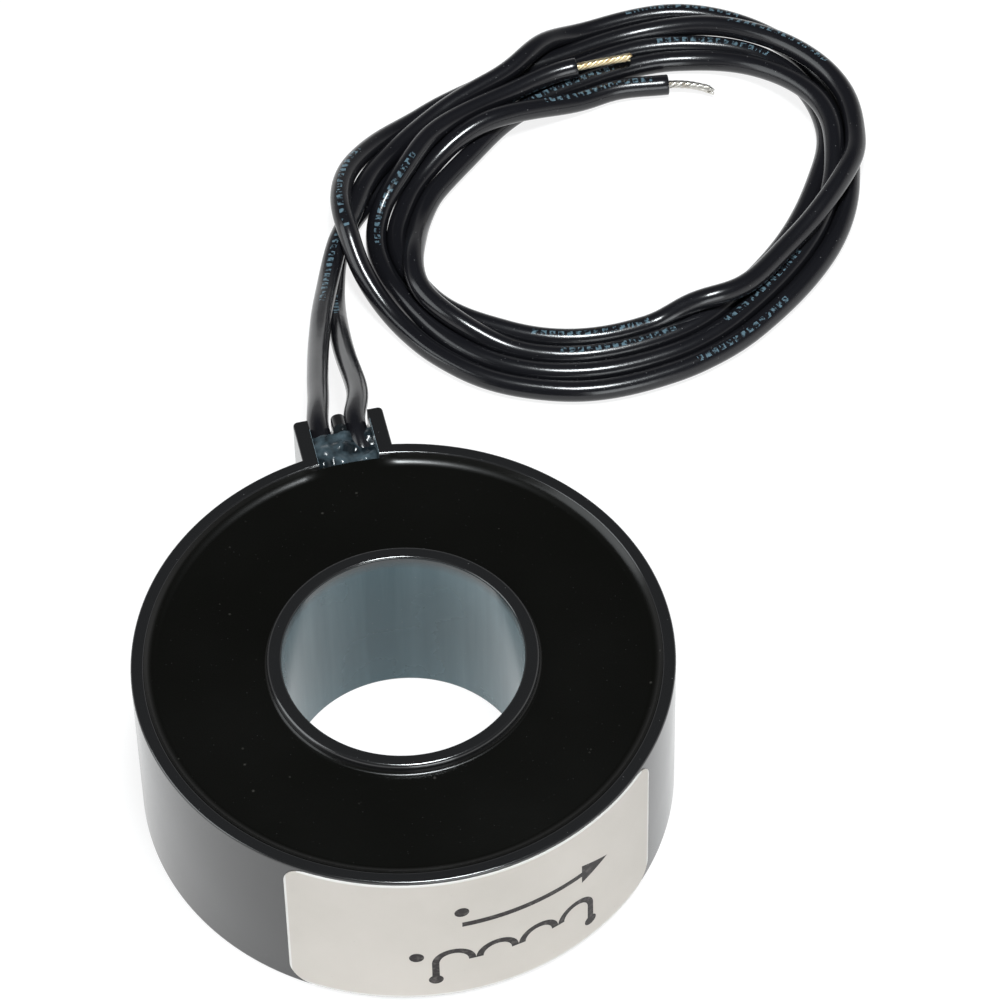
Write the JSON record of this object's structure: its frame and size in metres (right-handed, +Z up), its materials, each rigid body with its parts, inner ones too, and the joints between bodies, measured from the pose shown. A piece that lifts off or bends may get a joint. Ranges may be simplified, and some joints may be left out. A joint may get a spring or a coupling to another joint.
{
  "type": "current transformer",
  "caption": "Ring-type window current transformer, potted in a round black cup, with a lead spout and flexible leads lying in a loose coil.",
  "frame": {"origin": "on the axis of the window, at the base plane that the cup rests on", "axes": "+Z up along the window's axis, +Y from the axis towards the lead spout"},
  "size_m": [0.118, 0.1572, 0.0252],
  "materials": {
    "case_plastic": "glossy",
    "potting_epoxy": "satin",
    "label_film": "matte",
    "core_steel": "satin",
    "wrap_film": "satin",
    "winding_copper": "glossy",
    "winding_tape": "glossy",
    "solder": "satin",
    "sleeve": "satin",
    "lead_jacket": "glossy",
    "tinned_strands": "satin",
    "golden_strands": "satin"
  },
  "bodies": {
    "root": {"case": "case_plastic", "potting": "potting_epoxy", "label": "label_film", "core": "core_steel", "core_wrap": "wrap_film", "winding": "winding_copper", "winding_tape": "winding_tape", "splice_a": "solder", "splice_b": "solder", "sleeve_a": "sleeve", "sleeve_b": "sleeve", "lead_a": "lead_jacket", "lead_b": "lead_jacket", "lead_coil": "lead_jacket", "lead_a_tip": "tinned_strands", "lead_b_tip": "golden_strands"}
  },
  "joints": []
}
